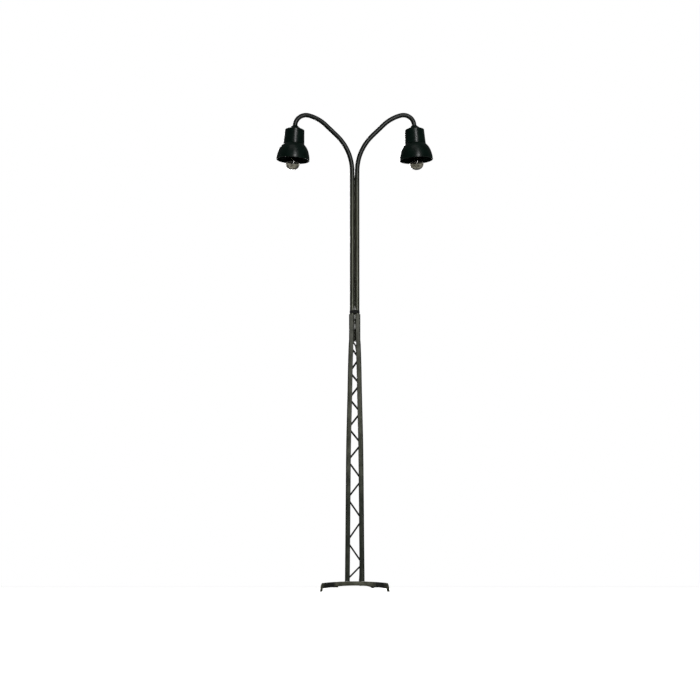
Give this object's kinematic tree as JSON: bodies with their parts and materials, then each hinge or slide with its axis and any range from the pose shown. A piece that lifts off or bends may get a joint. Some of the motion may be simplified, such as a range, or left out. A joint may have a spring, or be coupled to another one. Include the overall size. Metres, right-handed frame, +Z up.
{
  "type": "model railway lattice-mast lamp",
  "caption": "Twin-arm lattice-mast street lamp for an HO model railway, with bell shades, plug-in bulbs and an arched screw-down base plate.",
  "frame": {"origin": "centre of the plane the four feet stand on, under the mast's axis", "axes": "+Z up the mast, +X along the right-hand arm, front of the lamp faces -Y, cable leaves towards +Y"},
  "size_m": [0.0396, 0.011, 0.12],
  "materials": {
    "base_paint": "satin olive-grey paint on stamped steel, worn at the edges",
    "mast_paint": "satin dark olive-grey paint on stamped sheet",
    "arm_paint": "thin satin olive-grey lacquer on drawn brass tube",
    "lamp_enamel": "very dark green-black moulded shell, semi-gloss",
    "band": "matt black wrap",
    "solder": "dull soft solder",
    "contact_brass": "turned, slightly tarnished",
    "fibre": "hard paper insulator",
    "bulb_glass": "clear blown glass",
    "bead_glass": "green-grey glass bead",
    "filament": "bare lead wires and tungsten filament",
    "enamelled_wire": "dark enamel on copper wire",
    "cable_sleeve": "black sleeving"
  },
  "bodies": {
    "lamp": {"base_plate": "base_paint", "mast_channel_left": "mast_paint", "mast_channel_right": "mast_paint", "lacing_front": "mast_paint", "lacing_rear": "mast_paint", "arm_tube_left": "arm_paint", "arm_tube_right": "arm_paint", "binding_band": "band", "neck_solder_front": "solder", "neck_solder_rear": "solder", "mast_solder_front": "solder", "mast_solder_rear": "solder", "foot_solder_left": "solder", "foot_solder_right": "solder", "feed_wire_left": "enamelled_wire", "feed_wire_right": "enamelled_wire", "return_wire": "enamelled_wire", "cable_sleeve": "cable_sleeve", "lamp_housing_left": "lamp_enamel", "lamp_shade_left": "lamp_enamel", "contact_disc_left": "fibre", "contact_rivet_left": "contact_brass", "socket_sleeve_left": "contact_brass", "lamp_housing_right": "lamp_enamel", "lamp_shade_right": "lamp_enamel", "contact_disc_right": "fibre", "contact_rivet_right": "contact_brass", "socket_sleeve_right": "contact_brass"},
    "left_bulb": {"bulb_shell_left": "contact_brass", "bulb_insulator_left": "fibre", "bulb_tip_contact_left": "solder", "bulb_glass_left": "bulb_glass", "bulb_bead_left": "bead_glass", "bulb_filament_left": "filament"},
    "right_bulb": {"bulb_shell_right": "contact_brass", "bulb_insulator_right": "fibre", "bulb_tip_contact_right": "solder", "bulb_glass_right": "bulb_glass", "bulb_bead_right": "bead_glass", "bulb_filament_right": "filament"}
  },
  "joints": [
    {"name": "left_bulb_pull", "type": "slide", "parent": "lamp", "child": "left_bulb", "axis": [-0.0593, 0, -0.9982], "range_m": [0, 0.0065]},
    {"name": "right_bulb_pull", "type": "slide", "parent": "lamp", "child": "right_bulb", "axis": [0.0593, 0, -0.9982], "range_m": [0, 0.0065]}
  ]
}
